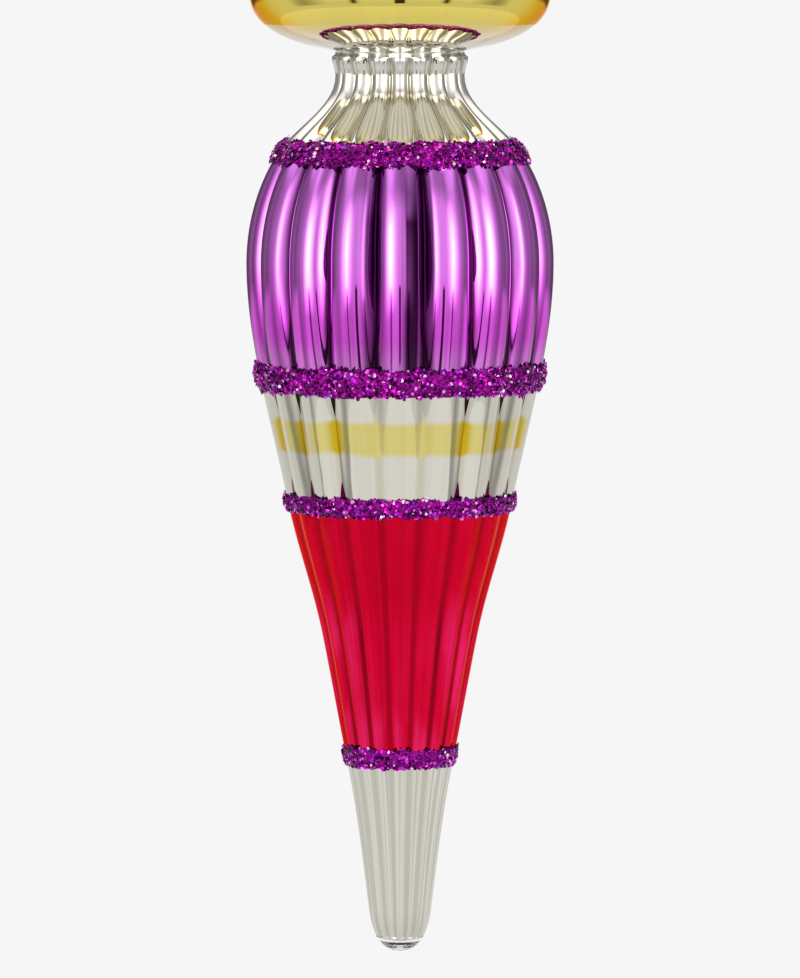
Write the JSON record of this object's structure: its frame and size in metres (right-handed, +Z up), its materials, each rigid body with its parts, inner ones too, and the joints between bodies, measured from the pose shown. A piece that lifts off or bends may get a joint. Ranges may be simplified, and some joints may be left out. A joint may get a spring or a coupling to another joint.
{
  "type": "finial ornament",
  "caption": "Hanging finial ornament of ribbed, silvered and coloured blown glass with glitter bands, a flattened bulge, a metal cap and a wire loop.",
  "frame": {"origin": "the hanging point: the inside top of the wire loop, on the ornament's axis", "axes": "+Z up along the ornament's axis, the pointed end down; Y runs through the wire loop, as a hook does; the front faces -Y"},
  "size_m": [0.059, 0.06, 0.2198],
  "materials": {
    "glass": "blown glass, silvered inside, with purple, red, amber and gold lacquer",
    "glitter": "purple glitter in a bead of glue",
    "cap": "thin drawn sheet, gold coloured",
    "wire": "bright spring wire"
  },
  "bodies": {
    "root": {"glass_body": "glass", "tip_glitter": "glitter", "middle_glitter": "glitter", "waist_glitter": "glitter", "shoulder_glitter": "glitter", "cap": "cap", "hanger": "wire"}
  },
  "joints": []
}
